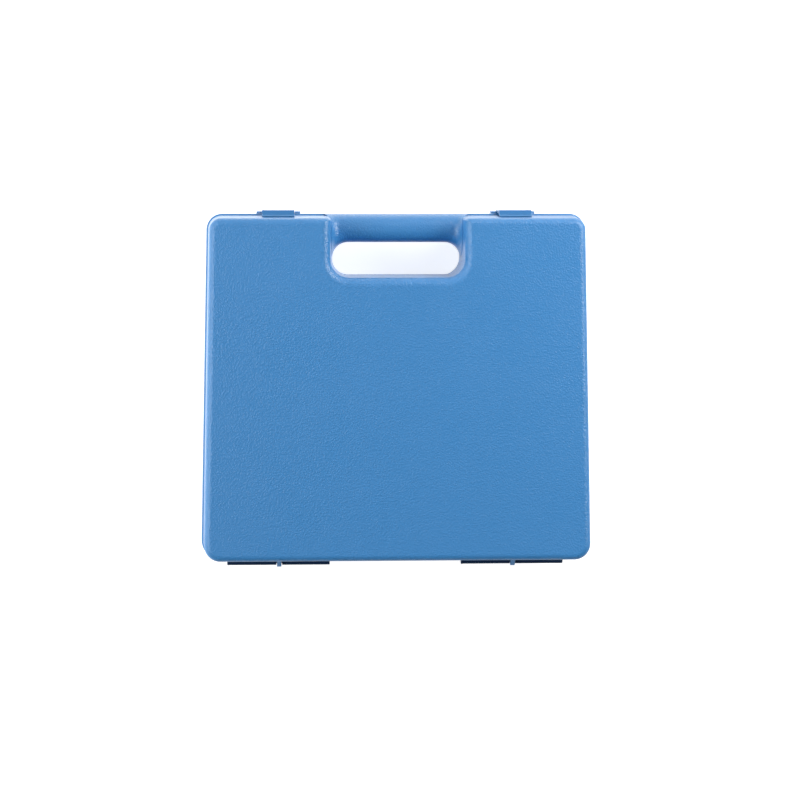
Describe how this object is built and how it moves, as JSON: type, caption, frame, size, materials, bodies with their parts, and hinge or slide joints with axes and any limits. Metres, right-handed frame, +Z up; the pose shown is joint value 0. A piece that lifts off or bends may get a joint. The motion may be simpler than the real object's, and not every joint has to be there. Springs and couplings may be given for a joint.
{
  "type": "hard tool case",
  "caption": "Moulded plastic tool case with a hinged lid, snap latches, a grip set in a soft-edged handle pocket, and foam liners inside.",
  "frame": {"origin": "middle of the underside of the whole part, on the surface that the closed case lies on", "axes": "+Z up, out of the lid's face; -Y towards the grip and latches, +Y towards the hinges; +X along the case's width"},
  "size_m": [0.3124, 0.2865, 0.08],
  "materials": {
    "case_plastic": "mid blue polypropylene, faces with a fine moulded leather grain, satin sheen",
    "latch_plastic": "slightly greyer blue polypropylene, smooth",
    "hinge_plastic": "dark navy nylon, smooth satin",
    "pin_steel": "bright zinc plated steel",
    "foam": "charcoal open-cell polyurethane foam, fine cells"
  },
  "bodies": {
    "base": {"base_shell": "case_plastic", "left_hinge_block": "hinge_plastic", "right_hinge_block": "hinge_plastic", "left_hinge_pin": "hinge_plastic", "right_hinge_pin": "hinge_plastic", "hinge_screws": "pin_steel", "left_latch_pin": "pin_steel", "right_latch_pin": "pin_steel", "base_foam": "foam"},
    "lid": {"lid_shell": "case_plastic", "lid_foam": "foam"},
    "left_latch": {"left_latch": "latch_plastic"},
    "right_latch": {"right_latch": "latch_plastic"}
  },
  "joints": [
    {"name": "lid_hinge", "type": "hinge", "parent": "base", "child": "lid", "pos_m": [0, 0.13875, 0.04], "axis": [-1, 0, 0], "range_deg": [0, 180]},
    {"name": "left_latch_pivot", "type": "hinge", "parent": "base", "child": "left_latch", "pos_m": [0.094, -0.14045, 0.0229], "axis": [1, 0, 0], "range_deg": [0, 110]},
    {"name": "right_latch_pivot", "type": "hinge", "parent": "base", "child": "right_latch", "pos_m": [-0.094, -0.14045, 0.0229], "axis": [1, 0, 0], "range_deg": [0, 110]}
  ]
}
